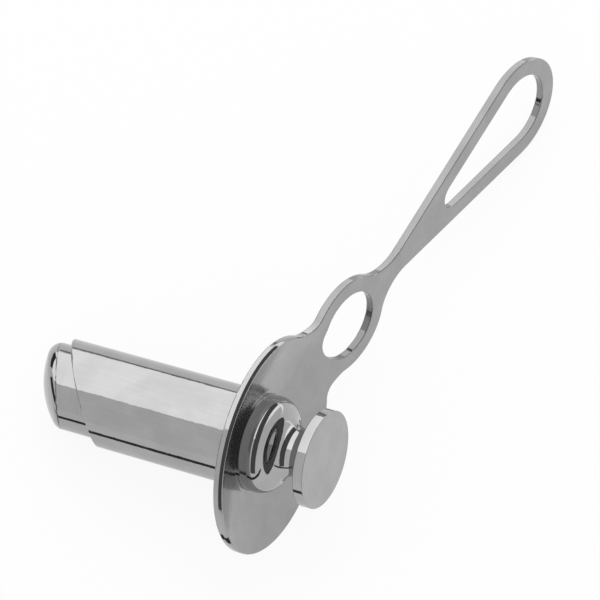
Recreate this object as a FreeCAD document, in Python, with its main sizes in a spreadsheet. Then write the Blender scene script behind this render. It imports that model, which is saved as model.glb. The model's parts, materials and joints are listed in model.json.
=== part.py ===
import FreeCAD, Part
import math
import os
import Sketcher
from FreeCAD import Placement, Rotation, Vector

# A proctoscope: a thin tube with an oblique end, brazed into a dished flange
# that is one piece with a flat looped handle, and a loose obturator that fills
# the tube. Sizes are in millimetres and degrees.
#
# Every piece is drawn in the instrument's own axes: X runs along the tube
# towards the user, Y is the side of the handle and Z completes the set. The
# plane X = 0 touches the front of the flange's rim. At the end the whole
# instrument is laid down on its side, as it rests on a tray.

doc = FreeCAD.newDocument("proctoscope")
sheet = doc.addObject("Spreadsheet::Sheet", "sizes")

SIZES = (
    ("tube_outer_diameter", 22.0),
    ("tube_wall", 0.9),
    ("tube_reach", 48.6),          # rim plane to the middle of the oblique end
    ("tube_end_angle", 33.4),
    ("tube_lip_round", 0.35),
    ("rim_diameter", 49.1),
    ("sheet_thickness", 2.0),
    ("dish_depth", 3.9),
    ("seat_land", 0.8),            # flat floor round the tube, that the obturator's collar rests on
    ("braze_gap", 0.05),
    ("braze_leg", 1.0),
    ("handle_lift", 1.0),          # handle's front face above the rim plane, at the rim
    ("handle_angle", 12.65),       # handle leans towards the user
    ("root_round", 5.5),           # hollow corners between the rim and the finger ring
    ("ring_offset", 8.65),         # rim's edge to the middle of the finger ring
    ("ring_hole_diameter", 16.7),
    ("ring_band", 3.75),
    ("waist_width", 5.5),
    ("waist_round", 10.0),
    ("loop_offset", 64.9),         # middle of the finger ring to the middle of the loop's round end
    ("loop_outer_diameter", 25.8),
    ("loop_band", 3.9),
    ("slot_offset", 39.6),         # middle of the finger ring to the middle of the slot's narrow end
    ("slot_end_diameter", 6.9),
    ("ridge_round", 8.0),          # soft bend between the dish and the handle
    ("edge_round", 0.35),
    ("collar_diameter", 21.9),
    ("collar_band", 2.3),
    ("dome_radius", 4.35),
    ("dome_lean", 5.7),
    ("neck_diameter", 10.8),
    ("neck_round", 4.5),
    ("knob_face", 12.05),          # rim plane to the knob's flat face
    ("knob_diameter", 22.05),
    ("knob_thickness", 2.45),
    ("knob_edge_round", 0.22),
    ("stud_diameter", 4.0),
    ("stud_length", 1.5),
    ("stud_gap", 0.05),
    ("barrel_play", 0.65),         # gap between the barrel and the tube, all round
    ("barrel_wall", 1.6),
    ("plug_length", 5.0),
    ("solder_gap", 0.05),
    ("seat_clearance", 0.02),
    ("seam_distance", 55.05),      # rim plane to the middle of the nose cap's seam
    ("nose_angle", 29.5),
    ("nose_turn", 23.7),           # obturator lies turned in the tube by this much
    ("crown_radius", 20.0),
    ("crown_height", 3.9),
    ("nose_edge_round", 3.0),
    ("spigot_length", 3.0),
    ("spigot_wall", 0.7),
)

for row, (name, value) in enumerate(SIZES, start=1):
    sheet.set("A%d" % row, name)
    sheet.set("B%d" % row, str(value))
    sheet.setAlias("B%d" % row, name)
doc.recompute()


def size(name):
    return float(sheet.get(name))


def half(name):
    return size(name) / 2


def sine(name):
    return math.sin(math.radians(size(name)))


def cosine(name):
    return math.cos(math.radians(size(name)))


def tangent(name):
    return math.tan(math.radians(size(name)))


# Sketch helpers

def new_body(name):
    body = doc.addObject("PartDesign::Body", name)
    body.Label = name
    return body


def plane_of(body, role):
    for feature in body.Origin.OriginFeatures:
        if feature.Role == role:
            return feature
    raise ValueError(role)


def new_sketch(body, name, role):
    sketch = body.newObject("Sketcher::SketchObject", name)
    sketch.AttachmentSupport = (plane_of(body, role), [""])
    sketch.MapMode = "FlatFace"
    return sketch


def bind(sketch, label, constraint, rule):
    number = sketch.addConstraint(constraint)
    sketch.renameConstraint(number, label)
    sketch.setExpression("Constraints." + label, rule)


def place_point(sketch, label, geometry, point, spot, across, up):
    """Hold a point of a sketch at two expressions of the sheet."""
    rules = (("DistanceX", "_across", across, spot[0]), ("DistanceY", "_up", up, spot[1]))
    for kind, ending, rule, value in rules:
        bind(sketch, label + ending, Sketcher.Constraint(kind, -1, 1, geometry, point, value), rule)


def line(start, end):
    return Part.LineSegment(Vector(start[0], start[1], 0), Vector(end[0], end[1], 0))


def arc(centre, radius, start, end):
    """Counterclockwise arc from the direction of start to the direction of end."""
    circle = Part.Circle(Vector(centre[0], centre[1], 0), Vector(0, 0, 1), radius)
    first = math.atan2(start[1] - centre[1], start[0] - centre[0])
    last = math.atan2(end[1] - centre[1], end[0] - centre[0])
    if last <= first:
        last += 2 * math.pi
    return Part.ArcOfCircle(circle, first, last)


def towards(centre, target, distance):
    """The point at a distance from centre on the way to target."""
    reach = math.hypot(target[0] - centre[0], target[1] - centre[1])
    return (
        centre[0] + (target[0] - centre[0]) * distance / reach,
        centre[1] + (target[1] - centre[1]) * distance / reach,
    )


def polygon(sketch, corners):
    """Closed chain of straight lines whose corners are given as (label, spot, across, up)."""
    count = len(corners)
    for index, corner in enumerate(corners):
        sketch.addGeometry(line(corner[1], corners[(index + 1) % count][1]), False)
    for index in range(count):
        sketch.addConstraint(Sketcher.Constraint("Coincident", index, 2, (index + 1) % count, 1))
    for index, (label, spot, across, up) in enumerate(corners):
        place_point(sketch, label, index, 1, spot, across, up)


def revolve(body, name, sketch, groove=False):
    kind = "PartDesign::Groove" if groove else "PartDesign::Revolution"
    feature = body.newObject(kind, name)
    feature.Profile = sketch
    feature.ReferenceAxis = (plane_of(body, "X_Axis"), [""])
    feature.Angle = 360.0
    body.Tip = feature
    doc.recompute()
    return feature


def extrude(body, name, sketch, rule, cut=False, backwards=False, both_ways=False):
    kind = "PartDesign::Pocket" if cut else "PartDesign::Pad"
    feature = body.newObject(kind, name)
    feature.Profile = sketch
    feature.Midplane = both_ways
    feature.Reversed = backwards
    feature.setExpression("Length", rule)
    body.Tip = feature
    doc.recompute()
    return feature


def round_edges(body, name, rule, wanted):
    """Fillet the edges of the body's tip that pass the test."""
    base = body.Tip
    names = ["Edge%d" % (i + 1) for i, edge in enumerate(base.Shape.Edges) if wanted(edge)]
    if not names:
        raise ValueError("no edge found for " + name)
    feature = body.newObject("PartDesign::Fillet", name)
    feature.Base = (base, names)
    feature.setExpression("Radius", rule)
    body.Tip = feature
    doc.recompute()
    return feature


SAME_PLACE = 0.01       # closer than this, two places are the same
FINE_FACETS = 0.02      # how far facets may leave a curved face where a lowest point is looked for


def edge_points(edge):
    return edge.discretize(9)


# Levels along the tube, shared by the pieces that meet there
seat_level = -size("dish_depth")
SEAT_LEVEL = "-sizes.dish_depth"
tube_radius = half("tube_outer_diameter")
bore_radius = tube_radius - size("tube_wall")
rim_radius = half("rim_diameter")
seat_radius = tube_radius + size("seat_land")
SEAT_RADIUS = "(sizes.tube_outer_diameter / 2 + sizes.seat_land)"

# Distances from the tube's axis, along the handle
ring_radius = half("ring_hole_diameter") + size("ring_band")
RING_RADIUS = "sizes.ring_hole_diameter / 2 + sizes.ring_band"
ring_distance = rim_radius + size("ring_offset")
RING_DISTANCE = "(sizes.rim_diameter / 2 + sizes.ring_offset)"
slot_distance = ring_distance + size("slot_offset")
SLOT_DISTANCE = "(" + RING_DISTANCE + " + sizes.slot_offset)"
loop_distance = ring_distance + size("loop_offset")
LOOP_DISTANCE = "(" + RING_DISTANCE + " + sizes.loop_offset)"


def make_tube():
    body = new_body("speculum_tube")
    slope = tangent("tube_end_angle")
    tip = size("tube_reach") + tube_radius * slope
    inner = "sizes.tube_outer_diameter / 2 - sizes.tube_wall"
    outer = "sizes.tube_outer_diameter / 2"
    tip_rule = "-sizes.tube_reach - sizes.tube_outer_diameter / 2 * tan(sizes.tube_end_angle * 1 deg)"
    profile = new_sketch(body, "tube_profile", "XY_Plane")
    polygon(profile, (
        ("tip_inner", (-tip, bore_radius), tip_rule, inner),
        ("tip_outer", (-tip, tube_radius), tip_rule, outer),
        ("mouth_outer", (seat_level, tube_radius), SEAT_LEVEL, outer),
        ("mouth_inner", (seat_level, bore_radius), SEAT_LEVEL, inner),
    ))
    revolve(body, "tube_turned", profile)

    reach = size("tube_reach")
    side = size("tube_outer_diameter")
    side_rule = "sizes.tube_outer_diameter"
    lean_rule = side_rule + " * tan(sizes.tube_end_angle * 1 deg)"
    wedge = new_sketch(body, "oblique_end", "XY_Plane")
    polygon(wedge, (
        ("long_side", (-reach - side * slope, side), "-sizes.tube_reach - " + lean_rule, side_rule),
        ("short_side", (-reach + side * slope, -side), "-sizes.tube_reach + " + lean_rule, "-" + side_rule),
        ("far_short", (-2 * reach, -side), "-2 * sizes.tube_reach", "-" + side_rule),
        ("far_long", (-2 * reach, side), "-2 * sizes.tube_reach", side_rule),
    ))
    extrude(body, "oblique_cut", wedge, side_rule + " * 2", cut=True, both_ways=True)

    def on_the_lip(edge):
        return edge.Closed and max(point.x for point in edge_points(edge)) < -half("tube_reach")

    round_edges(body, "rounded_lip", "sizes.tube_lip_round", on_the_lip)
    return body


def dish_centre():
    """Where the centre of the dish's ball-shaped hollow lies on the tube's axis."""
    depth = size("dish_depth")
    return ((rim_radius ** 2 - seat_radius ** 2 - depth ** 2) / (2 * depth), 0.0)


DISH_CENTRE = "((sizes.rim_diameter ^ 2 / 4 - " + SEAT_RADIUS + " ^ 2 - sizes.dish_depth ^ 2)" \
    " / (2 * sizes.dish_depth))"
DISH_RADIUS = "sqrt(" + DISH_CENTRE + " ^ 2 + sizes.rim_diameter ^ 2 / 4)"


def on_curve(centre, radius, height):
    """The point of the dish's curve at a height above the tube axis."""
    return (centre[0] - math.sqrt(radius ** 2 - (height - centre[1]) ** 2), height)


def meeting(first, first_radius, second, second_radius):
    """Upper meeting point of two circles whose centres lie on the sketch's first axis."""
    apart = second - first
    along = (apart ** 2 + first_radius ** 2 - second_radius ** 2) / (2 * apart)
    return (first + along, math.sqrt(first_radius ** 2 - along ** 2))


def mirrored(spot):
    return (spot[0], -spot[1])


def plate_point(along, across=0.0, above=0.0):
    """A point of the handle's front plane: along it from the rim, across it, and in front of it."""
    return Vector(
        size("handle_lift") + along * sine("handle_angle") + above * cosine("handle_angle"),
        rim_radius + along * cosine("handle_angle") - above * sine("handle_angle"),
        across,
    )


def plate_height(point):
    """How far a point lies in front of the handle's front plane."""
    offset = point - plate_point(0.0)
    return offset.x * cosine("handle_angle") - offset.y * sine("handle_angle")


def plate_sketch(body, name):
    """Sketch on the handle's front plane: its first axis runs along the handle from the rim."""
    sketch = new_sketch(body, name, "YZ_Plane")
    sketch.AttachmentOffset = Placement(Vector(rim_radius, 0, size("handle_lift")),
                                        Rotation(Vector(0, -1, 0), size("handle_angle")))
    sketch.setExpression("AttachmentOffset.Base.x", "sizes.rim_diameter / 2")
    sketch.setExpression("AttachmentOffset.Base.z", "sizes.handle_lift")
    sketch.setExpression("AttachmentOffset.Rotation.Angle", "sizes.handle_angle * 1 deg")
    return sketch


def along_plate(distance):
    """Place on the handle's plane of what lies at a distance from the tube's axis."""
    return (distance - rim_radius) / cosine("handle_angle")


def along_plate_rule(distance_rule):
    return "(" + distance_rule + " - sizes.rim_diameter / 2) / cos(sizes.handle_angle * 1 deg)"


def bend_distance():
    """How far past the rim the handle's front plane leaves the dish's curve."""
    lift = size("handle_lift")
    centre = dish_centre()[0]
    lean = (lift - centre) * sine("handle_angle") + rim_radius * cosine("handle_angle")
    return math.sqrt(lean ** 2 + lift * (2 * centre - lift)) - lean


LEAN = "((sizes.handle_lift - " + DISH_CENTRE + ") * sin(sizes.handle_angle * 1 deg)" \
    " + sizes.rim_diameter / 2 * cos(sizes.handle_angle * 1 deg))"
BEND_DISTANCE = "(sqrt(" + LEAN + " ^ 2 + sizes.handle_lift * (2 * " + DISH_CENTRE + " - sizes.handle_lift)) - " \
    + LEAN + ")"


def dish_section(sketch, centre, radius, radius_rule, inner, inner_rule, level, level_rule,
                 brim, brim_rule, front, front_rule):
    """Half section in front of one curved face: floor, curve, brim, front and bore."""
    foot = (level, centre[1] + math.sqrt(radius ** 2 - (centre[0] - level) ** 2))
    edge = on_curve(centre, radius, brim)
    sketch.addGeometry(line((level, inner), foot), False)
    sketch.addGeometry(arc(centre, radius, edge, foot), False)
    sketch.addGeometry(line(edge, (front, brim)), False)
    sketch.addGeometry(line((front, brim), (front, inner)), False)
    sketch.addGeometry(line((front, inner), (level, inner)), False)
    for first, first_end, second, second_end in ((0, 2, 1, 2), (1, 1, 2, 1), (2, 2, 3, 1), (3, 2, 4, 1), (4, 2, 0, 1)):
        sketch.addConstraint(Sketcher.Constraint("Coincident", first, first_end, second, second_end))
    for number, kind in ((0, "Vertical"), (2, "Horizontal"), (3, "Vertical"), (4, "Horizontal")):
        sketch.addConstraint(Sketcher.Constraint(kind, number))
    place_point(sketch, "bore", 0, 1, (level, inner), level_rule, inner_rule)
    place_point(sketch, "brim", 3, 1, (front, brim), front_rule, brim_rule)
    bind(sketch, "curve_radius", Sketcher.Constraint("Radius", 1, radius), radius_rule)
    place_point(sketch, "curve_centre", 1, 3, centre, DISH_CENTRE, "0")


def tangent_chain(sketch, curves, joints):
    """Add curves and join their ends smoothly: each joint is (curve, end, curve, end)."""
    for curve in curves:
        sketch.addGeometry(curve, False)
    for joint in joints:
        sketch.addConstraint(Sketcher.Constraint("Tangent", *joint))


def handle_outline(sketch):
    """Seen along the tube: rim, hollow corners, finger ring, waist, straight sides and round end."""
    root = size("root_round")
    ring = ring_radius
    ring_at = ring_distance
    waist = size("waist_round")
    loop = half("loop_outer_diameter")
    loop_at = (loop_distance, 0.0)
    origin = (0.0, 0.0)
    ring_centre = (ring_at, 0.0)
    root_centre = meeting(0.0, rim_radius + root, ring_at, ring + root)
    waist_across = half("waist_width") + waist
    waist_centre = (ring_at + math.sqrt((ring + waist) ** 2 - waist_across ** 2), waist_across)
    reach = math.hypot(loop_at[0] - waist_centre[0], waist_across)
    turn = math.asin((waist + loop) / reach) - math.atan2(waist_across, loop_at[0] - waist_centre[0])
    side = (-math.sin(turn), math.cos(turn))
    on_waist = (waist_centre[0] - side[0] * waist, waist_centre[1] - side[1] * waist)
    on_loop = (loop_at[0] + side[0] * loop, side[1] * loop)
    rim_to_root = towards(origin, root_centre, rim_radius)
    root_to_ring = towards(ring_centre, root_centre, ring)
    ring_to_waist = towards(ring_centre, waist_centre, ring)
    tangent_chain(sketch, (
        arc(origin, rim_radius, rim_to_root, mirrored(rim_to_root)),
        arc(mirrored(root_centre), root, mirrored(root_to_ring), mirrored(rim_to_root)),
        arc(ring_centre, ring, mirrored(root_to_ring), mirrored(ring_to_waist)),
        arc(mirrored(waist_centre), waist, mirrored(on_waist), mirrored(ring_to_waist)),
        line(mirrored(on_waist), mirrored(on_loop)),
        arc(loop_at, loop, mirrored(on_loop), on_loop),
        line(on_loop, on_waist),
        arc(waist_centre, waist, ring_to_waist, on_waist),
        arc(ring_centre, ring, ring_to_waist, root_to_ring),
        arc(root_centre, root, rim_to_root, root_to_ring),
    ), (
        (0, 2, 1, 2), (1, 1, 2, 1), (2, 2, 3, 2), (3, 1, 4, 1), (4, 2, 5, 1),
        (5, 2, 6, 1), (6, 2, 7, 2), (7, 1, 8, 1), (8, 2, 9, 2), (9, 1, 0, 1),
    ))
    sketch.addConstraint(Sketcher.Constraint("Coincident", 0, 3, -1, 1))
    place_point(sketch, "ring_near", 2, 3, ring_centre, RING_DISTANCE, "0")
    place_point(sketch, "ring_far", 8, 3, ring_centre, RING_DISTANCE, "0")
    place_point(sketch, "loop", 5, 3, loop_at, LOOP_DISTANCE, "0")
    waist_rule = "sizes.waist_width / 2 + sizes.waist_round"
    bind(sketch, "waist_near", Sketcher.Constraint("DistanceY", -1, 1, 3, 3, -waist_across), "-(" + waist_rule + ")")
    bind(sketch, "waist_far", Sketcher.Constraint("DistanceY", -1, 1, 7, 3, waist_across), waist_rule)
    for number, name, value, rule in (
        (0, "rim", rim_radius, "sizes.rim_diameter / 2"),
        (1, "root_near", root, "sizes.root_round"),
        (9, "root_far", root, "sizes.root_round"),
        (2, "ring_near", ring, RING_RADIUS),
        (8, "ring_far", ring, RING_RADIUS),
        (3, "waist_near", waist, "sizes.waist_round"),
        (7, "waist_far", waist, "sizes.waist_round"),
        (5, "loop", loop, "sizes.loop_outer_diameter / 2"),
    ):
        bind(sketch, name + "_radius", Sketcher.Constraint("Radius", number, value), rule)


def slot_outline(sketch):
    """The long opening of the loop: two round ends joined by straight sides."""
    small = half("slot_end_diameter")
    large = half("loop_outer_diameter") - size("loop_band")
    near = (along_plate(slot_distance), 0.0)
    far = (along_plate(loop_distance), 0.0)
    turn = math.asin((large - small) / (far[0] - near[0]))
    side = (-math.sin(turn), math.cos(turn))
    near_side = (near[0] + side[0] * small, side[1] * small)
    far_side = (far[0] + side[0] * large, side[1] * large)
    tangent_chain(sketch, (
        arc(near, small, near_side, mirrored(near_side)),
        line(mirrored(near_side), mirrored(far_side)),
        arc(far, large, mirrored(far_side), far_side),
        line(far_side, near_side),
    ), ((0, 2, 1, 1), (1, 2, 2, 1), (2, 2, 3, 1), (3, 2, 0, 1)))
    place_point(sketch, "near_end", 0, 3, near, along_plate_rule(SLOT_DISTANCE), "0")
    place_point(sketch, "far_end", 2, 3, far, along_plate_rule(LOOP_DISTANCE), "0")
    bind(sketch, "near_radius", Sketcher.Constraint("Radius", 0, small), "sizes.slot_end_diameter / 2")
    bind(sketch, "far_radius", Sketcher.Constraint("Radius", 2, large),
         "sizes.loop_outer_diameter / 2 - sizes.loop_band")


def rectangle(sketch, name, low, high, low_rules, high_rules):
    polygon(sketch, (
        (name + "_a", low, low_rules[0], low_rules[1]),
        (name + "_b", (high[0], low[1]), high_rules[0], low_rules[1]),
        (name + "_c", high, high_rules[0], high_rules[1]),
        (name + "_d", (low[0], high[1]), low_rules[0], high_rules[1]),
    ))


def face_normal(face, point):
    across, up = face.Surface.parameter(point)
    return face.normalAt(across, up)


def is_sharp(shape, edge):
    """True where the two faces of an edge meet at a clear angle."""
    faces = shape.ancestorsOfType(edge, Part.Face)
    if len(faces) != 2:
        return False
    middle = edge.valueAt((edge.FirstParameter + edge.LastParameter) / 2)
    angle = face_normal(faces[0], middle).getAngle(face_normal(faces[1], middle))
    return math.degrees(angle) > 30


def make_flange_handle():
    body = new_body("flange_handle")
    centre = dish_centre()
    radius = math.hypot(centre[0], rim_radius)
    thickness = size("sheet_thickness")
    brim = rim_radius + bend_distance() + thickness
    brim_rule = "sizes.rim_diameter / 2 + " + BEND_DISTANCE + " + sizes.sheet_thickness"
    far = 5 * thickness
    far_rule = "5 * sizes.sheet_thickness"

    # The dish's curved back, left solid in front, and the handle's flat strip
    blank = new_sketch(body, "dish_back", "XY_Plane")
    dish_section(blank, centre, radius + thickness, DISH_RADIUS + " + sizes.sheet_thickness",
                 tube_radius + size("braze_gap"), "sizes.tube_outer_diameter / 2 + sizes.braze_gap",
                 seat_level - thickness, SEAT_LEVEL + " - sizes.sheet_thickness",
                 brim, brim_rule, 3 * thickness, "3 * sizes.sheet_thickness")
    revolve(body, "dish_blank", blank)
    strip = plate_sketch(body, "handle_strip")
    # Back along the handle's front plane, this is where it passes through the rim's plane
    through_rim = -size("handle_lift") / sine("handle_angle")
    through_rim_rule = "-sizes.handle_lift / sin(sizes.handle_angle * 1 deg)"
    strip_root = (through_rim / 2, -brim / 2)
    strip_end = (along_plate(loop_distance + size("loop_outer_diameter")), brim / 2)
    half_brim = "(" + brim_rule + ") / 2"
    rectangle(strip, "strip", strip_root, strip_end,
              (through_rim_rule + " / 2", "-" + half_brim),
              (along_plate_rule("(" + LOOP_DISTANCE + " + sizes.loop_outer_diameter)"), half_brim))
    extrude(body, "handle_blank", strip, "sizes.sheet_thickness", backwards=True)

    # The hollow front of the dish, and the flat front of the handle
    hollow = new_sketch(body, "dish_front", "XY_Plane")
    wide = brim + thickness / 2
    wide_rule = brim_rule + " + sizes.sheet_thickness / 2"
    dish_section(hollow, centre, radius, DISH_RADIUS, 0.0, "0", seat_level, SEAT_LEVEL,
                 wide, wide_rule, far, far_rule)
    revolve(body, "dish_hollow", hollow, groove=True)
    trim = plate_sketch(body, "handle_front")
    rectangle(trim, "trim", (through_rim, -wide), (wide / 2, wide),
              (through_rim_rule, "-(" + wide_rule + ")"), ("(" + wide_rule + ") / 2", wide_rule))
    extrude(body, "flat_front", trim, far_rule, cut=True, backwards=True)

    # The outline, cut straight through along the tube
    cutter = new_sketch(body, "outline", "YZ_Plane")
    handle_outline(cutter)
    margin = loop_distance + size("loop_outer_diameter") * 1.5
    margin_rule = LOOP_DISTANCE + " + sizes.loop_outer_diameter * 1.5"
    sketch_border(cutter, margin, margin_rule)
    extrude(body, "trimmed_outline", cutter, "2 * " + LOOP_DISTANCE, cut=True, both_ways=True)

    def on_bend(depth):
        """Test for the edge where ball and plane meet, at a depth below the front faces."""
        def wanted(edge):
            return all(
                abs(plate_height(point) + depth) < SAME_PLACE
                and abs((point - Vector(centre[0], 0, 0)).Length - radius - depth) < SAME_PLACE
                for point in edge_points(edge)
            )
        return wanted

    round_edges(body, "soft_ridge", "sizes.ridge_round", on_bend(0.0))
    round_edges(body, "soft_valley", "sizes.ridge_round - sizes.sheet_thickness", on_bend(thickness))

    # Finger ring and the loop's long opening, cut square to the handle
    ring = plate_sketch(body, "ring_hole")
    ring_at = (along_plate(ring_distance), 0.0)
    ring.addGeometry(Part.Circle(Vector(ring_at[0], 0, 0), Vector(0, 0, 1), half("ring_hole_diameter")), False)
    place_point(ring, "ring", 0, 3, ring_at, along_plate_rule(RING_DISTANCE), "0")
    bind(ring, "ring_radius", Sketcher.Constraint("Radius", 0, half("ring_hole_diameter")),
         "sizes.ring_hole_diameter / 2")
    extrude(body, "finger_ring", ring, far_rule, cut=True, both_ways=True)
    slot = plate_sketch(body, "loop_slot")
    slot_outline(slot)
    extrude(body, "loop_opening", slot, far_rule, cut=True, both_ways=True)

    def outer_edge(edge):
        off_axis = min(math.hypot(point.y, point.z) for point in edge_points(edge))
        return off_axis > (seat_radius + rim_radius) / 2 and is_sharp(body.Tip.Shape, edge)

    round_edges(body, "softened_edges", "sizes.edge_round", outer_edge)
    return body


def sketch_border(sketch, margin, margin_rule):
    """A square round an outline, so that a pocket takes away what lies outside the outline."""
    first = len(sketch.Geometry)
    corners = ((-margin, -margin), (margin, -margin), (margin, margin), (-margin, margin))
    for index in range(4):
        sketch.addGeometry(line(corners[index], corners[(index + 1) % 4]), False)
    for index in range(4):
        sketch.addConstraint(
            Sketcher.Constraint("Coincident", first + index, 2, first + (index + 1) % 4, 1))
        across, up = corners[index]
        place_point(sketch, "border_%d" % index, first + index, 1, corners[index],
                    ("-(" if across < 0 else "(") + margin_rule + ")",
                    ("-(" if up < 0 else "(") + margin_rule + ")")


def make_solder_ring():
    """Hollow fillet of solder between the flange's back and the tube."""
    body = new_body("solder_ring")
    leg = size("braze_leg")
    back = seat_level - size("sheet_thickness")
    back_rule = "-sizes.dish_depth - sizes.sheet_thickness"
    outer_rule = "sizes.tube_outer_diameter / 2"
    corner = (back, tube_radius)
    on_tube = (back - leg, tube_radius)
    on_flange = (back, tube_radius + leg)
    middle = (back - leg, tube_radius + leg)
    profile = new_sketch(body, "solder_profile", "XY_Plane")
    profile.addGeometry(line(corner, on_tube), False)
    profile.addGeometry(line(on_flange, corner), False)
    profile.addGeometry(arc(middle, leg, on_tube, on_flange), False)
    for joint in ((0, 1, 1, 2), (0, 2, 2, 1), (1, 1, 2, 2)):
        profile.addConstraint(Sketcher.Constraint("Coincident", *joint))
    place_point(profile, "corner", 0, 1, corner, back_rule, outer_rule)
    place_point(profile, "on_tube", 0, 2, on_tube, back_rule + " - sizes.braze_leg", outer_rule)
    place_point(profile, "on_flange", 1, 1, on_flange, back_rule, outer_rule + " + sizes.braze_leg")
    bind(profile, "hollow", Sketcher.Constraint("Radius", 2, leg), "sizes.braze_leg")
    revolve(body, "solder_turned", profile)
    return body


# Levels and radii of the obturator's turned pieces
collar_level = seat_level + size("seat_clearance")
COLLAR_LEVEL = "sizes.seat_clearance - sizes.dish_depth"
knob_back = size("knob_face") - size("knob_thickness")
KNOB_BACK = "sizes.knob_face - sizes.knob_thickness"
barrel_radius = bore_radius - size("barrel_play")
BARREL_RADIUS = "(sizes.tube_outer_diameter / 2 - sizes.tube_wall - sizes.barrel_play)"
barrel_bore = barrel_radius - size("barrel_wall")


def make_collar():
    """Plug, collar, dome, waisted neck and stud, turned in one piece."""
    body = new_body("obturator_collar")
    plug = barrel_bore - size("solder_gap")
    plug_rule = BARREL_RADIUS + " - sizes.barrel_wall - sizes.solder_gap"
    plug_end = collar_level - size("plug_length")
    plug_end_rule = COLLAR_LEVEL + " - sizes.plug_length"
    collar = half("collar_diameter")
    collar_rule = "sizes.collar_diameter / 2"
    band_end = collar_level + size("collar_band")
    band_rule = COLLAR_LEVEL + " + sizes.collar_band"
    dome = size("dome_radius")
    dome_centre = (band_end - dome * sine("dome_lean"), collar - dome * cosine("dome_lean"))
    waist = size("neck_round")
    waist_up = half("neck_diameter") + waist
    waist_along = dome_centre[0] + math.sqrt((dome + waist) ** 2 - (waist_up - dome_centre[1]) ** 2)
    waist_centre = (waist_along, waist_up)
    neck_end = (knob_back, waist_up - math.sqrt(waist ** 2 - (knob_back - waist_along) ** 2))
    dome_start = (band_end, collar)
    dome_end = towards(dome_centre, waist_centre, dome)
    stud = half("stud_diameter")
    stud_end = knob_back + size("stud_length")
    profile = new_sketch(body, "turned_profile", "XY_Plane")
    straight = (
        ((plug_end, 0.0), (plug_end, plug)),
        ((plug_end, plug), (collar_level, plug)),
        ((collar_level, plug), (collar_level, collar)),
        ((collar_level, collar), dome_start),
        (neck_end, (knob_back, stud)),
        ((knob_back, stud), (stud_end, stud)),
        ((stud_end, stud), (stud_end, 0.0)),
        ((stud_end, 0.0), (plug_end, 0.0)),
    )
    for start, end in straight:
        profile.addGeometry(line(start, end), False)
    profile.addGeometry(arc(dome_centre, dome, dome_end, dome_start), False)
    profile.addGeometry(arc(waist_centre, waist, dome_end, neck_end), False)
    for first, second in ((0, 1), (1, 2), (2, 3), (4, 5), (5, 6), (6, 7), (7, 0)):
        profile.addConstraint(Sketcher.Constraint("Coincident", first, 2, second, 1))
    profile.addConstraint(Sketcher.Constraint("Coincident", 3, 2, 8, 2))
    profile.addConstraint(Sketcher.Constraint("Tangent", 8, 1, 9, 1))
    profile.addConstraint(Sketcher.Constraint("Coincident", 9, 2, 4, 1))
    place_point(profile, "plug_axis", 0, 1, (plug_end, 0.0), plug_end_rule, "0")
    place_point(profile, "plug", 1, 1, (plug_end, plug), plug_end_rule, plug_rule)
    place_point(profile, "shoulder", 2, 1, (collar_level, plug), COLLAR_LEVEL, plug_rule)
    place_point(profile, "collar", 3, 1, (collar_level, collar), COLLAR_LEVEL, collar_rule)
    place_point(profile, "band", 3, 2, dome_start, band_rule, collar_rule)
    place_point(profile, "stud", 5, 1, (knob_back, stud), KNOB_BACK, "sizes.stud_diameter / 2")
    place_point(profile, "stud_end", 6, 1, (stud_end, stud), KNOB_BACK + " + sizes.stud_length",
                "sizes.stud_diameter / 2")
    place_point(profile, "stud_axis", 7, 1, (stud_end, 0.0), KNOB_BACK + " + sizes.stud_length", "0")
    place_point(profile, "dome_centre", 8, 3, dome_centre,
                band_rule + " - sizes.dome_radius * sin(sizes.dome_lean * 1 deg)",
                collar_rule + " - sizes.dome_radius * cos(sizes.dome_lean * 1 deg)")
    bind(profile, "waist_radius", Sketcher.Constraint("Radius", 9, waist), "sizes.neck_round")
    bind(profile, "waist_up", Sketcher.Constraint("DistanceY", -1, 1, 9, 3, waist_up),
         "sizes.neck_diameter / 2 + sizes.neck_round")
    profile.addConstraint(Sketcher.Constraint("Vertical", 4))
    revolve(body, "collar_turned", profile)
    return body


def make_knob():
    """Flat round knob with a blind hole for the neck's stud."""
    body = new_body("obturator_knob")
    disc = new_sketch(body, "knob_disc", "YZ_Plane")
    disc.AttachmentOffset = Placement(Vector(0, 0, knob_back), Rotation())
    disc.setExpression("AttachmentOffset.Base.z", KNOB_BACK)
    disc.addGeometry(Part.Circle(Vector(0, 0, 0), Vector(0, 0, 1), half("knob_diameter")), False)
    disc.addConstraint(Sketcher.Constraint("Coincident", 0, 3, -1, 1))
    bind(disc, "radius", Sketcher.Constraint("Radius", 0, half("knob_diameter")), "sizes.knob_diameter / 2")
    extrude(body, "knob_blank", disc, "sizes.knob_thickness")
    hole_radius = half("stud_diameter") + size("stud_gap")
    hole = new_sketch(body, "stud_hole", "YZ_Plane")
    hole.AttachmentOffset = Placement(Vector(0, 0, knob_back), Rotation())
    hole.setExpression("AttachmentOffset.Base.z", KNOB_BACK)
    hole.addGeometry(Part.Circle(Vector(0, 0, 0), Vector(0, 0, 1), hole_radius), False)
    hole.addConstraint(Sketcher.Constraint("Coincident", 0, 3, -1, 1))
    bind(hole, "radius", Sketcher.Constraint("Radius", 0, hole_radius), "sizes.stud_diameter / 2 + sizes.stud_gap")
    extrude(body, "stud_socket", hole, "sizes.stud_length + sizes.stud_gap", cut=True, backwards=True)

    def outer_edge(edge):
        return min(math.hypot(point.y, point.z) for point in edge_points(edge)) > half("knob_diameter") - 1 \
            and is_sharp(body.Tip.Shape, edge)

    round_edges(body, "knob_edges", "sizes.knob_edge_round", outer_edge)
    return body


# The barrel and the nose cap share one rounded outside, cut apart along an oblique seam

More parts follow.
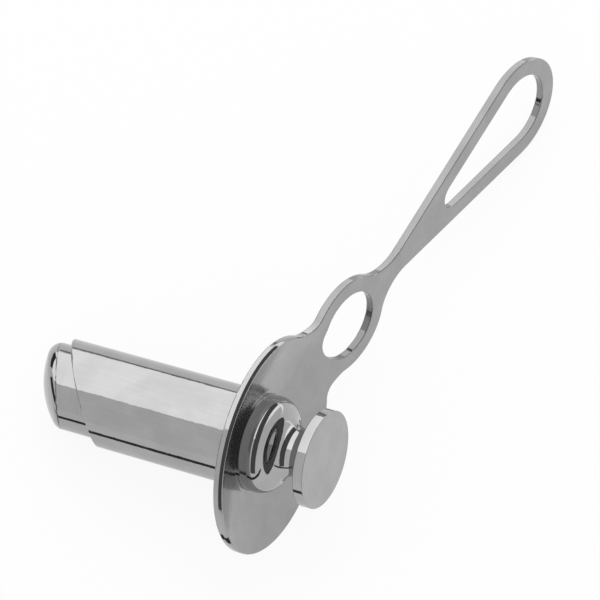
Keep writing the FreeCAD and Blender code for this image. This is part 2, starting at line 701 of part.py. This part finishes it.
NOSE_COSINE = "cos(sizes.nose_angle * 1 deg)"
NOSE_SINE = "sin(sizes.nose_angle * 1 deg)"
BARREL_BORE = BARREL_RADIUS + " - sizes.barrel_wall"
SPIGOT_RADIUS = BARREL_BORE + " - sizes.solder_gap"
NOSE_WALL = "sizes.barrel_wall + sizes.solder_gap + sizes.spigot_wall"
BLOCK_SIDE = "8 * " + BARREL_RADIUS


def combine(kind, name, base, tool):
    feature = doc.addObject("Part::" + kind, name)
    feature.Base = base
    feature.Tool = tool
    feature.Refine = False
    doc.recompute()
    return feature


def round_bar(name, radius_rule, start_rule=COLLAR_LEVEL):
    """A bar on the tube's axis, from under the collar or another level to beyond the nose."""
    bar = doc.addObject("Part::Cylinder", name)
    bar.Placement = Placement(Vector(), Rotation(Vector(0, 0, 1), Vector(-1, 0, 0)))
    bar.setExpression("Placement.Base.x", start_rule)
    bar.setExpression("Radius", radius_rule)
    bar.setExpression("Height", "sizes.seam_distance + 2 * " + BARREL_RADIUS)
    return bar


def beyond_seam(name, back_rule="0"):
    """A block that covers all beyond the seam, or beyond a plane a distance back from it."""
    # A block set back by its own length ends at the seam and covers all before it
    block = doc.addObject("Part::Box", name)
    for side in ("Length", "Width", "Height"):
        block.setExpression(side, BLOCK_SIDE)
    block.Placement = Placement(Vector(), Rotation(Vector(0, 0, -1), 180 - size("nose_angle")))
    block.setExpression("Placement.Rotation.Angle", "(180 - sizes.nose_angle) * 1 deg")
    block.setExpression("Placement.Base.x", "-sizes.seam_distance + (" + back_rule + ") * " + NOSE_COSINE
                        + " - " + BLOCK_SIDE + " / 2 * " + NOSE_SINE)
    block.setExpression("Placement.Base.y", "(" + back_rule + ") * " + NOSE_SINE
                        + " + " + BLOCK_SIDE + " / 2 * " + NOSE_COSINE)
    block.setExpression("Placement.Base.z", "-" + BLOCK_SIDE + " / 2")
    return block


def beyond_crown(name, inset_rule="0"):
    """What lies beyond the ball that is the nose's dome, or beyond one set in by a wall."""
    ball = doc.addObject("Part::Sphere", name + "_ball")
    ball.setExpression("Radius", "sizes.crown_radius - (" + inset_rule + ")")
    centre_back = "(sizes.crown_radius - sizes.crown_height) * "
    ball.setExpression("Placement.Base.x", "-sizes.seam_distance + " + centre_back + NOSE_COSINE)
    ball.setExpression("Placement.Base.y", centre_back + NOSE_SINE)
    return combine("Cut", name, beyond_seam(name + "_block", BARREL_RADIUS), ball)


def rounded_outside(name):
    """The closed outside of barrel and nose together. Each cut below is made in one of its own."""
    blunt = combine("Cut", name + "_blunt", round_bar(name + "_bar", BARREL_RADIUS), beyond_crown(name + "_crown"))
    rounded = doc.addObject("Part::Fillet", name)
    rounded.Base = blunt
    rounded.Edges = [
        (index, size("nose_edge_round"), size("nose_edge_round"))
        for index, edge in enumerate(blunt.Shape.Edges, start=1)
        if edge.Closed and max(point.x for point in edge_points(edge)) < collar_level - barrel_radius
    ]
    doc.recompute()
    return rounded


def body_around(name, base):
    """A body that holds a finished cut, so that laying it down leaves the cut itself alone."""
    body = new_body(name)
    body.BaseFeature = base
    doc.recompute()
    return body


def make_barrel():
    """Open tube that ends obliquely at the seam."""
    before_seam = beyond_seam("before_seam", BLOCK_SIDE)
    bored = combine("Cut", "bored_block", before_seam, round_bar("barrel_bore", BARREL_BORE, "0"))
    shank = combine("Common", "barrel_shank", rounded_outside("barrel_outside"), bored)
    return body_around("obturator_barrel", shank)


def make_nose():
    """Hollow domed cap with a spigot that enters the barrel."""
    cap = combine("Common", "nose_cap", rounded_outside("cap_outside"), beyond_seam("nose_start"))
    stem = combine("Common", "nose_stem", rounded_outside("stem_outside"), round_bar("stem_bar", SPIGOT_RADIUS))
    spigot = combine("Common", "nose_spigot", stem, beyond_seam("spigot_start", "sizes.spigot_length"))
    solid = combine("Fuse", "nose_solid", cap, spigot)
    cavity = combine("Cut", "nose_cavity", round_bar("cavity_bar", BARREL_RADIUS + " - (" + NOSE_WALL + ")"),
                     beyond_crown("cavity_crown", NOSE_WALL))
    return body_around("obturator_nose", combine("Cut", "nose_cut", solid, cavity))


tube = make_tube()
flange = make_flange_handle()
solder = make_solder_ring()
barrel = make_barrel()
nose = make_nose()
collar = make_collar()
knob = make_knob()
obturator = (barrel, nose, collar, knob)
pieces = (tube, flange, solder) + obturator


# Laid down: the instrument rests on the rim, the end of the tube and the edge of the loop

def surface_points(piece):
    return piece.Shape.tessellate(FINE_FACETS)[0]


def resting_up(groups):
    """Up direction when the lowest point of each of three groups lies on a level floor."""
    up = Vector(0, 0, 1)
    for _ in range(20):
        low = [min(group, key=up.dot) for group in groups]
        normal = (low[1] - low[0]).cross(low[2] - low[0])
        up = normal * (math.copysign(1.0, normal.dot(up)) / normal.Length)
    return up


turned = Placement(Vector(), Rotation(Vector(1, 0, 0), -size("nose_turn")))
for piece in obturator:
    piece.Placement = turned
flange_points = surface_points(flange)
near_ring = ring_distance - ring_radius
up = resting_up((
    [point for point in flange_points if point.y < near_ring],
    [point for piece in (tube, nose) for point in surface_points(piece) if point.x < -half("tube_reach")],
    [point for point in flange_points if point.y > slot_distance],
))
handle_way = Vector(sine("handle_angle"), cosine("handle_angle"), 0)
level_handle = handle_way - up * handle_way.dot(up)
level_handle.normalize()
laid = Rotation(level_handle.cross(up), level_handle, up, "ZXY").inverted()
spots = [laid.multVec(point) for piece in pieces for point in surface_points(piece)]
low_corner = Vector(*(min(spot[axis] for spot in spots) for axis in range(3)))
high_corner = Vector(*(max(spot[axis] for spot in spots) for axis in range(3)))
lift = Vector(-(low_corner.x + high_corner.x) / 2, -(low_corner.y + high_corner.y) / 2, -low_corner.z)
lying = Placement(lift, laid)
for piece in pieces:
    piece.Placement = lying * turned if piece in obturator else lying
doc.recompute()

for item in doc.Objects:
    if "Invalid" in item.State or "Error" in item.State:
        raise RuntimeError(item.Name + " failed: " + ", ".join(item.State))
for piece in pieces:
    if piece.Shape.isNull() or not piece.Shape.isValid():
        raise RuntimeError(piece.Label + " has no valid shape")

os.makedirs("parts", exist_ok=True)
for piece in pieces:
    piece.Shape.exportStep("parts/" + piece.Label + ".step")
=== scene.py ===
import json
import math

import bpy
from mathutils import Matrix, Vector

# A proctoscope lying on a white table: the looks of its polished steel pieces.
# The world and every object are in metres, in the frame of the solid model. Named angles are in degrees.

MM = 0.001
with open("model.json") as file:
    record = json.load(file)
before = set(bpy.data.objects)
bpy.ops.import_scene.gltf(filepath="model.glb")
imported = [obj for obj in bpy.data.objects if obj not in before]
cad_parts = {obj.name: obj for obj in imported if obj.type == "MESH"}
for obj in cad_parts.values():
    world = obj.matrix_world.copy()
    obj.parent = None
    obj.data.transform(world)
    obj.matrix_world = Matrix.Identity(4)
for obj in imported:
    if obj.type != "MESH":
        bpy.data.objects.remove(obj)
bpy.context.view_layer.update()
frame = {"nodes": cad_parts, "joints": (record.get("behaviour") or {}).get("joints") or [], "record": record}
mounts = {mount["name"]: mount for mount in frame["record"]["mounts"]}


def placing(x_way, y_way, z_way, origin):
    """Matrix that carries a frame's own axes and origin to where they lie in the world."""
    columns = (x_way, y_way, z_way, origin)
    rows = [[column[k] for column in columns] for k in range(3)]
    return Matrix(rows + [[0.0, 0.0, 0.0, 1.0]])


# The instrument's own axes as it lies: X along the tube towards the user, Y to the handle's side, Z across
KNOB_FACE_LEVEL = 12.05 * MM      # from the plane of the flange's rim
TUBE_AXIS = Vector(frame["joints"][0]["axis"]).normalized()
RIM_CENTRE = Vector(mounts["knob_face"]["pos_m"]) - TUBE_AXIS * KNOB_FACE_LEVEL
RING_MIDDLE = Vector(mounts["finger_ring"]["pos_m"])
HANDLE_FRONT = Vector(mounts["finger_ring"]["axis"]).normalized()
to_ring = RING_MIDDLE - RIM_CENTRE
HANDLE_SIDE = (to_ring - TUBE_AXIS * to_ring.dot(TUBE_AXIS)).normalized()
INSTRUMENT = placing(TUBE_AXIS, HANDLE_SIDE, TUBE_AXIS.cross(HANDLE_SIDE), RIM_CENTRE)

# Camera: where the photograph was taken from
CAMERA_AZIMUTH = 44.389
CAMERA_ELEVATION = 70.879
CAMERA_ROLL = 8.698
CAMERA_DISTANCE = 0.72096
CAMERA_TARGET = Vector((0.0082235, -0.0161372, 0.0343407))
CAMERA_NEAR = 0.01
SENSOR_WIDTH = 36.0
LENS = 198.06


def link(data, name):
    """A new object of the scene, with its data."""
    thing = bpy.data.objects.new(name, data)
    bpy.context.scene.collection.objects.link(thing)
    return thing


def way(azimuth, elevation):
    """Unit vector towards a place round the object: azimuth from +X towards +Y."""
    turn = math.radians(azimuth)
    rise = math.radians(elevation)
    return Vector((math.cos(rise) * math.cos(turn), math.cos(rise) * math.sin(turn), math.sin(rise)))


def add_camera():
    """The camera, with its sideways axis level before it rolls."""
    data = bpy.data.cameras.new("camera")
    data.sensor_width = SENSOR_WIDTH
    data.lens = LENS
    data.clip_start = CAMERA_NEAR
    camera = link(data, "camera")
    level = way(CAMERA_AZIMUTH, 0.0)
    forward = way(CAMERA_AZIMUTH + 90.0, -CAMERA_ELEVATION)
    upright = level.cross(forward)
    roll = math.radians(CAMERA_ROLL)
    right = level * math.cos(roll) - upright * math.sin(roll)
    up = upright * math.cos(roll) + level * math.sin(roll)
    camera.matrix_world = placing(right, up, -forward, CAMERA_TARGET - forward * CAMERA_DISTANCE)
    bpy.context.scene.camera = camera


# Node helpers

class Nodes:
    """The node tree of one material or world, with short ways to add the usual nodes."""

    def __init__(self, tree):
        self.nodes = tree.nodes
        self.links = tree.links
        self.nodes.clear()

    def add(self, kind, inputs, **settings):
        """A new node. Each of its inputs, by name or number, takes a value or a socket to link."""
        node = self.nodes.new("ShaderNode" + kind)
        for name, value in settings.items():
            setattr(node, name, value)
        for name, value in inputs.items():
            if isinstance(value, bpy.types.NodeSocket):
                self.links.new(value, node.inputs[name])
            else:
                node.inputs[name].default_value = value
        return node

    def calculate(self, operation, first, second=0.0, clamp=False):
        return self.add("Math", {0: first, 1: second}, operation=operation, use_clamp=clamp).outputs[0]

    def plus(self, first, second):
        return self.calculate("ADD", first, second)

    def minus(self, first, second):
        return self.calculate("SUBTRACT", first, second)

    def times(self, first, second):
        return self.calculate("MULTIPLY", first, second)

    def between(self, value, low, high, to_low, to_high):
        """Carries low to high over to to_low to to_high, softly and without going past them."""
        inputs = {"Value": value, "From Min": low, "From Max": high, "To Min": to_low, "To Max": to_high}
        return self.add("MapRange", inputs, interpolation_type="SMOOTHSTEP").outputs["Result"]

    def vector(self, operation, first, second=None, scale=None):
        """A calculation on vectors that gives a vector."""
        inputs = {0: first, 1: second, "Scale": scale}
        given = {name: value for name, value in inputs.items() if value is not None}
        return self.add("VectorMath", given, operation=operation).outputs["Vector"]

    def measure(self, operation, first, second=None):
        """A calculation on vectors that gives a number."""
        inputs = {0: first} if second is None else {0: first, 1: second}
        return self.add("VectorMath", inputs, operation=operation).outputs["Value"]

    def output(self, kind, surface):
        self.add("Output" + kind, {"Surface": surface})

    def instrument_point(self):
        """A surface's point in the instrument's axes, the same point in the world's, and its normal."""
        place = self.add("TexCoord", {}).outputs
        turned = {"Vector": place["Object"], "Location": RIM_CENTRE, "Rotation": INSTRUMENT.to_euler()}
        point = self.add("Mapping", turned, vector_type="TEXTURE").outputs["Vector"]
        return point, place["Object"], place["Normal"]

    def from_tube(self, point):
        """How far a point in the instrument's axes is from the tube's axis."""
        return self.measure("LENGTH", self.vector("MULTIPLY", point, (0.0, 1.0, 1.0)))

    def noise(self, point, grains, detail, fourth=None):
        """Soft noise with its own number of grains per metre along each axis."""
        inputs = {"Vector": self.vector("MULTIPLY", point, grains), "Scale": 1.0, "Detail": detail}
        if fourth is None:
            return self.add("TexNoise", inputs).outputs["Fac"]
        inputs["W"] = fourth
        return self.add("TexNoise", inputs, noise_dimensions="4D").outputs["Fac"]

    def turned_noise(self, point, grains, detail):
        """Noise drawn out round the tube's axis, as a lathe or a polishing wheel leaves it."""
        along, outwards, round_axis = grains
        radius = self.from_tube(point)
        safe = self.calculate("MAXIMUM", radius, 0.1 * MM)
        split = self.add("SeparateXYZ", {0: point}).outputs
        wide = self.calculate("DIVIDE", split["Y"], safe)
        deep = self.calculate("DIVIDE", split["Z"], safe)
        joined = self.add("CombineXYZ", {0: split["X"], 1: wide, 2: deep}).outputs[0]
        return self.noise(joined, (along, round_axis, round_axis), detail, self.times(radius, outwards))


def new_material(name):
    material = bpy.data.materials.new(name)
    material.use_nodes = True
    return material, Nodes(material.node_tree)


# Studio: white table, even surroundings, bright panels and dark cards

FLOOR_SIZE = 6.0
FLOOR_COLOUR = (0.93, 0.93, 0.93, 1.0)
SHADE_SEEN = 0.10         # share of the table's look that takes the shadow, straight from the camera
SHADE_MIRRORED = 0.45     # the same in mirrored rays, where the table near the object looks darker
WHITE = (1.0, 1.0, 1.0, 1.0)
WORLD_LIGHT = 0.80        # strength of the surroundings as they light the scene
WORLD_MIRRORED = 0.90     # the same in mirrored rays; the camera sees them white


def oblong(start, end, near, far):
    """The corners of an oblong, in order round it."""
    return (start, near), (end, near), (end, far), (start, far)


def add_sheet(name, corners, material):
    """A sheet whose flat parts take four corners each."""
    mesh = bpy.data.meshes.new(name)
    parts = [(k, k + 1, k + 2, k + 3) for k in range(0, len(corners), 4)]
    mesh.from_pydata([tuple(corner) for corner in corners], [], parts)
    mesh.materials.append(material)
    return link(mesh, name)


def add_floor():
    """The table's top, which looks white but keeps the object's soft shadow."""
    material, nodes = new_material("table_white")
    path = nodes.add("LightPath", {}).outputs
    mirrored = nodes.calculate("ADD", path["Is Glossy Ray"], path["Is Transmission Ray"], clamp=True)
    straight = nodes.times(path["Is Camera Ray"], 1.0 - SHADE_SEEN)
    even = nodes.plus(straight, nodes.times(mirrored, 1.0 - SHADE_MIRRORED))
    shaded = nodes.add("BsdfDiffuse", {"Color": FLOOR_COLOUR}).outputs[0]
    glow = nodes.add("Emission", {"Strength": 1.0}).outputs[0]
    nodes.output("Material", nodes.add("MixShader", {"Fac": even, 1: shaded, 2: glow}).outputs[0])
    half = FLOOR_SIZE / 2
    floor = add_sheet("table_top", [(x, y, 0.0) for x, y in oblong(-half, half, -half, half)], material)


def add_world():
    """Even surroundings, white to the camera."""
    world = bpy.data.worlds.new("studio")
    bpy.context.scene.world = world
    world.use_nodes = True
    nodes = Nodes(world.node_tree)
    path = nodes.add("LightPath", {}).outputs
    seen = nodes.times(path["Is Camera Ray"], 1.0 - WORLD_LIGHT)
    mirrored = nodes.times(path["Is Glossy Ray"], WORLD_MIRRORED - WORLD_LIGHT)
    strength = nodes.plus(nodes.plus(seen, mirrored), WORLD_LIGHT)
    nodes.output("World", nodes.add("Background", {"Color": WHITE, "Strength": strength}).outputs[0])


def add_card(name, strength, corners):
    """A card of the studio, flat or bent, which shows only in mirrored rays."""
    material, nodes = new_material(name + "_light")
    nodes.output("Material", nodes.add("Emission", {"Strength": strength}).outputs[0])
    card = add_sheet(name, corners, material)
    card.visible_camera = False
    card.visible_diffuse = False
    card.visible_shadow = False


def round_tube(distance, turn, radius):
    """Place round the tube: distance from the rim, turn from the handle's side and radius from the axis."""
    angle = math.radians(turn)
    return INSTRUMENT @ Vector((distance, radius * math.cos(angle), radius * math.sin(angle)))


def along_tube(start, end, first_turn, last_turn, radius):
    """Corners of a flat card whose edges run along the tube."""
    edges = oblong(start, end, first_turn, last_turn)
    return [round_tube(distance, turn, radius) for distance, turn in edges]


CARD_LIFT = 0.5 * MM      # what keeps a card off the table's top


def on_table(start, end, near, far):
    """Corners of a card that lies on the table, along the tube and to the left of it."""
    forward = Vector((TUBE_AXIS.x, TUBE_AXIS.y, 0)).normalized()
    beside = Vector((-forward.y, forward.x, 0))
    origin = Vector((RIM_CENTRE.x, RIM_CENTRE.y, CARD_LIFT))
    return [origin + forward * x + beside * y for x, y in oblong(start, end, near, far)]


NOSE_FROM_RIM = 60 * MM


def beside_nose(first, last, distance, height):
    """Corners of a card that stands on the table round the nose, between two azimuths."""
    nose = RIM_CENTRE - TUBE_AXIS * NOSE_FROM_RIM
    foot = Vector((nose.x, nose.y, CARD_LIFT))
    ends = [foot + way(azimuth, 0.0) * distance for azimuth in (first, last)]
    rise = Vector((0, 0, height))
    return [ends[0], ends[1], ends[1] + rise, ends[0] + rise]


# The dark gap over the instrument, where the photographer stood: turn from the handle's side, and lowest
# and highest lean towards the user
DARK_BAND = (
    (5.0, -4.0, 12.0),
    (41.0, 4.0, 25.0),
    (79.0, 9.0, 35.0),
    (118.0, 11.0, 39.0),
    (157.0, 9.0, 35.0),
    (195.0, 4.0, 25.0),
    (231.0, -4.0, 12.0),
)
DARK_BAND_RADIUS = 0.6


def over_instrument(sections, radius):
    """Corners of a bent card over the instrument, four for each of its flat parts."""
    edges = []
    for turn, low, high in sections:
        leans = [math.radians(lean) for lean in (low, high)]
        edges.append([round_tube(radius * math.sin(lean), turn, radius * math.cos(lean)) for lean in leans])
    corners = []
    for (low, high), (next_low, next_high) in zip(edges, edges[1:]):
        corners += [low, next_low, next_high, high]
    return corners


def add_cards():
    """The cards, set so that the polished steel mirrors them as light and dark bands where it should."""
    add_card(
        "bright_panel", strength=1.78,
        corners=along_tube(start=-1.9, end=0.6, first_turn=3.0, last_turn=112.9, radius=1.4))
    add_card("bright_table", strength=1.75, corners=on_table(start=-1.5, end=0.2, near=0.17, far=2.0))
    add_card(
        "dark_strip_right", strength=0.06,
        corners=along_tube(start=-0.085, end=0.03, first_turn=191.8, last_turn=199.4, radius=0.030))
    add_card(
        "dark_strip_left", strength=0.35,
        corners=along_tube(start=-0.085, end=-0.008, first_turn=11.6, last_turn=17.2, radius=0.060))
    add_card("dark_band", strength=0.12, corners=over_instrument(DARK_BAND, DARK_BAND_RADIUS))
    add_card(
        "dark_wall_left", strength=0.05,
        corners=beside_nose(first=148.0, last=186.0, distance=0.10, height=0.044))
    add_card(
        "dark_wall_right", strength=0.05,
        corners=beside_nose(first=202.0, last=246.0, distance=0.10, height=0.040))


LAMP_SIZE = 1.2
LAMP_POWER = 9.0
LAMP_DISTANCE = 1.8
LAMP_AZIMUTH = 120.0
LAMP_ELEVATION = 62.0


def add_lamp():
    """A broad soft lamp behind and to the left, which the steel doesn't mirror."""
    data = bpy.data.lights.new("soft_lamp", "AREA")
    data.shape = "DISK"
    data.size = LAMP_SIZE
    data.energy = LAMP_POWER
    lamp = link(data, "soft_lamp")
    lamp.visible_glossy = False
    place = CAMERA_TARGET + way(LAMP_AZIMUTH, LAMP_ELEVATION) * LAMP_DISTANCE
    lamp.location = place
    lamp.rotation_euler = (CAMERA_TARGET - place).to_track_quat("-Z", "Y").to_euler()


# The soldered seam between the barrel and its nose

FACING_AWAY = -0.5                                # of a face's normal, along the tube's axis
SEAM_LINE = (0.06 * MM, 0.24 * MM, 1.0, 0.0)      # distances from the seam, and how much line each has
SEAM_GRAINS = (700.0, 700.0, 700.0)
SEAM_DETAIL = 2.0
SEAM_UNEVEN = (0.38, 0.62, 0.35, 1.0)             # values of the noise, and the share of the line at each
SEAM_SHADE = 0.25
SEAM_ROUGHNESS = 0.3


def far_end(node):
    """Middle and direction of the flat end that a piece turns away from the user."""
    middle = Vector()
    direction = Vector()
    area = 0.0
    for polygon in node.data.polygons:
        if polygon.normal.dot(TUBE_AXIS) < FACING_AWAY:
            middle += polygon.center * polygon.area
            direction += polygon.normal * polygon.area
            area += polygon.area
    return middle / area, direction.normalized()


def seam_line(nodes, place, point):
    """1 on the fine seam, uneven round it, and 0 beside it."""
    middle, direction = far_end(frame["nodes"]["obturator_barrel"])
    gap = nodes.minus(nodes.measure("DOT_PRODUCT", place, direction), middle.dot(direction))
    line = nodes.between(nodes.calculate("ABSOLUTE", gap), *SEAM_LINE)
    return nodes.times(line, nodes.between(nodes.noise(point, SEAM_GRAINS, SEAM_DETAIL), *SEAM_UNEVEN))


# The sheet of the flange and handle: satin faces, a rim that the wheel has rounded over, and painted light
# and shade on its edges

HALF_SHEET = 1.0 * MM
BEND = 0.3 * MM                             # gap of the rim's and the handle's fronts where one takes over
RIM_INSIDE = 24.15 * MM                     # radius beyond which the rim's outer edge lies
CROWN = 1.25 * MM                           # depth of the rounding, from the front
CROWN_SPREAD = (0.25, 0.45, 0.0, 1.0)       # a normal's part away from the front, and how much is rounded
CROWN_FADE = (1.3 * MM, 1.5 * MM, 1.0, 0.0)      # the same by depth, short of the back corner

# Share of the rounding's depth, and how much the normal leans to the front there
CROWN_LEAN = ((0.0, 1.0), (0.14, 0.55), (0.24, 0.47), (0.76, 0.34), (1.0, 0.0))

# Two values of a normal's part along the tube, and how much of an edge each is, then the roughness it adds
FACE_TO_EDGE = (0.3, 0.8, 1.0, 0.0)
SATIN = (0.72, 0.90, 0.03, 0.12)

# Painted light and shade of the edges, beside the shade of the faces: a painted highlight on the rim's edge,
# painted shade on the handle's edges and the ring's wall, and where one gives way to another
RIM_EDGE_PAINTED_HIGHLIGHT = 1.06
HANDLE_EDGE_PAINTED_SHADE = 0.78
RING_WALL_PAINTED_SHADE = 0.60
RIM_TO_HANDLE = (25.5 * MM, 29.0 * MM)      # distances from the tube's axis
RING_TO_HANDLE = (9.0 * MM, 10.5 * MM)      # distances from the ring's middle


def crowned_edge(nodes, place, point, normal):
    """Normal of the sheet, rounded over towards the front on the rim's outer edge."""

    # Depth behind the front, which is the rim's plane and, past the bend, the handle's face
    rim_depth = nodes.plus(nodes.measure("DOT_PRODUCT", place, -TUBE_AXIS), RIM_CENTRE.dot(TUBE_AXIS))
    handle_level = RING_MIDDLE.dot(HANDLE_FRONT) + HALF_SHEET
    handle_depth = nodes.plus(nodes.measure("DOT_PRODUCT", place, -HANDLE_FRONT), handle_level)
    depth = nodes.calculate("MAXIMUM", rim_depth, handle_depth)
    on_handle = nodes.between(nodes.minus(handle_depth, rim_depth), -BEND, BEND, 0.0, 1.0)
    turn = nodes.vector("SCALE", HANDLE_FRONT - TUBE_AXIS, scale=on_handle)
    front = nodes.vector("NORMALIZE", nodes.vector("ADD", turn, TUBE_AXIS))

    # The normal's part away from the front, and the lean that the rounding gives it at each depth
    forward = nodes.vector("SCALE", front, scale=nodes.measure("DOT_PRODUCT", normal, front))
    sideways = nodes.vector("SUBTRACT", normal, forward)
    lean = nodes.add("ValToRGB", {"Fac": nodes.calculate("DIVIDE", depth, CROWN)})
    steps = lean.color_ramp.elements
    while len(steps) < len(CROWN_LEAN):
        steps.new(1.0)
    for step, (position, grey) in zip(steps, CROWN_LEAN):
        step.position = position
        step.color = (grey, grey, grey, 1.0)
    sine = lean.outputs["Color"]
    cosine = nodes.calculate("SQRT", nodes.calculate("SUBTRACT", 1.0, nodes.times(sine, sine), clamp=True))
    outward = nodes.vector("SCALE", nodes.vector("NORMALIZE", sideways), scale=cosine)
    rounded = nodes.vector("ADD", outward, nodes.vector("SCALE", front, scale=sine))

    # Only on the rim's outer edge: not on the faces, the back corner, the dish or the handle
    share = nodes.calculate("GREATER_THAN", nodes.from_tube(point), RIM_INSIDE)
    share = nodes.times(share, nodes.between(nodes.measure("LENGTH", sideways), *CROWN_SPREAD))
    share = nodes.times(share, nodes.between(depth, *CROWN_FADE))
    share = nodes.times(share, nodes.minus(1.0, on_handle))
    kept = nodes.vector("SCALE", normal, scale=nodes.minus(1.0, share))
    return nodes.vector("NORMALIZE", nodes.vector("ADD", kept, nodes.vector("SCALE", rounded, scale=share)))


def painted_edge_light_and_shade(nodes, place, point, flat):
    """Painted light and shade on the sheet's edges, beside the shade of its faces: the rim's edge painted
    lighter, the handle's edges and the ring's wall painted darker.
    """
    outer = nodes.between(nodes.from_tube(point), *RIM_TO_HANDLE, RIM_EDGE_PAINTED_HIGHLIGHT - 1.0, HANDLE_EDGE_PAINTED_SHADE - 1.0)
    from_ring = nodes.measure("DISTANCE", place, RING_MIDDLE)
    inner = nodes.between(from_ring, *RING_TO_HANDLE, RING_WALL_PAINTED_SHADE - HANDLE_EDGE_PAINTED_SHADE, 0.0)
    change = nodes.times(nodes.between(flat, *FACE_TO_EDGE), nodes.plus(outer, inner))
    return nodes.plus(change, 1.0)


# Steel

# Grains of the fine grain and of the scratches: per metre along the instrument's three axes, but for turned
# pieces per metre along the tube, per metre outwards and per radius round it
GRAINS = {
    "along_tube": ((110.0, 4600.0, 4600.0), (160.0, 1700.0, 1500.0)),
    "along_handle": ((4200.0, 130.0, 4200.0), (1300.0, 190.0, 1500.0)),
    "turned": ((5200.0, 5200.0, 1.6), (1500.0, 1500.0, 5.0)),
}
FINE_DETAIL = 3.0
SCRATCH_DETAIL = 2.0
CLOUD_GRAINS = (150.0, 150.0, 150.0)
CLOUD_DETAIL = 3.0
MARK_GRAINS = (420.0, 330.0, 380.0)
MARK_DETAIL = 4.0

# Two values of the noise, and what each of them adds
CLOUDY_SHADE = (0.3, 0.7, -0.05, 0.05)
GRAINY_SHADE = (0.3, 0.7, -0.03, 0.03)
MARK_ROUGHNESS = (0.52, 0.72, 0.0, 0.05)
SCRATCH_ROUGHNESS = (0.62, 0.74, 0.0, 0.07)

GRAIN_DEPTH = 0.004 * MM
GRAIN_STRENGTH = 0.35
NEUTRAL = (1.0, 1.0, 1.0)
WARM = (1.0, 0.985, 0.955)


def steel(name, shade, roughness, grain, waves, tint=NEUTRAL, sheet=False, seam=False):
    """Worked stainless steel: grain left by the wheel, clouds, fine scratches and finger marks."""
    material, nodes = new_material(name)
    point, place, normal = nodes.instrument_point()
    streaks = nodes.turned_noise if grain == "turned" else nodes.noise
    fine_grains, scratch_grains = GRAINS[grain]
    fine = streaks(point, fine_grains, FINE_DETAIL)
    scratch = streaks(point, scratch_grains, SCRATCH_DETAIL)
    clouds = nodes.noise(point, CLOUD_GRAINS, CLOUD_DETAIL)
    marks = nodes.noise(point, MARK_GRAINS, MARK_DETAIL)

    # Shade: cloudy, with the grain just showing. Roughness: finger marks and scratches.
    level = nodes.plus(nodes.between(clouds, *CLOUDY_SHADE), nodes.between(fine, *GRAINY_SHADE))
    level = nodes.plus(level, 1.0)
    rough = nodes.plus(nodes.between(marks, *MARK_ROUGHNESS), nodes.between(scratch, *SCRATCH_ROUGHNESS))
    rough = nodes.plus(rough, roughness)
    if sheet:
        flat = nodes.calculate("ABSOLUTE", nodes.measure("DOT_PRODUCT", normal, TUBE_AXIS))
        # Painted light and shade: the rim's edge painted lighter, the handle's edges and the ring's wall
        # painted darker
        level = nodes.times(level, painted_edge_light_and_shade(nodes, place, point, flat))
        rough = nodes.plus(rough, nodes.between(flat, *SATIN))
    if seam:
        line = seam_line(nodes, place, point)
        level = nodes.times(level, nodes.between(line, 0.0, 1.0, 1.0, SEAM_SHADE))
        rough = nodes.plus(rough, nodes.times(line, SEAM_ROUGHNESS))

    # Bump: grain and scratches, a few thousandths of a millimetre deep, over shallow waves from polishing
    grain_bump = {"Strength": GRAIN_STRENGTH, "Distance": GRAIN_DEPTH, "Height": nodes.plus(fine, scratch)}
    if sheet:
        grain_bump["Normal"] = crowned_edge(nodes, place, point, normal)
    wave_bump = {"Strength": 1.0, "Distance": waves * MM, "Height": clouds}
    wave_bump["Normal"] = nodes.add("Bump", grain_bump).outputs["Normal"]

    shader = nodes.add("BsdfPrincipled", {
        "Metallic": 1.0,
        "Base Color": nodes.vector("SCALE", [shade * part for part in tint], scale=level),
        "Roughness": rough,
        "Normal": nodes.add("Bump", wave_bump).outputs["Normal"],
    })
    nodes.output("Material", shader.outputs[0])
    return material


FINISHES = {
    "speculum_tube": dict(
        name="polished_steel", shade=0.37, roughness=0.035, grain="along_tube", waves=0.05),
    "flange_handle": dict(
        name="satin_steel", shade=0.345, roughness=0.05, grain="along_handle", waves=0.06, sheet=True),
    "solder_ring": dict(
        name="silver_solder", shade=0.38, roughness=0.18, grain="turned", waves=0.15, tint=WARM),
    "obturator_barrel": dict(
        name="polished_steel_barrel", shade=0.36, roughness=0.04, grain="turned", waves=0.05, seam=True),
    "obturator_nose": dict(
        name="bright_steel_nose", shade=0.37, roughness=0.04, grain="turned", waves=0.05, seam=True),
    "obturator_collar": dict(
        name="bright_steel", shade=0.39, roughness=0.03, grain="turned", waves=0.04),
    "obturator_knob": dict(
        name="bright_steel_knob", shade=0.375, roughness=0.04, grain="turned", waves=0.04),
}

add_camera()
add_floor()
add_world()
add_lamp()
add_cards()
for node_name, finish in FINISHES.items():
    node = frame["nodes"][node_name]
    node.data.materials.clear()
    node.data.materials.append(steel(**finish))

bpy.context.scene.view_settings.view_transform = "Standard"
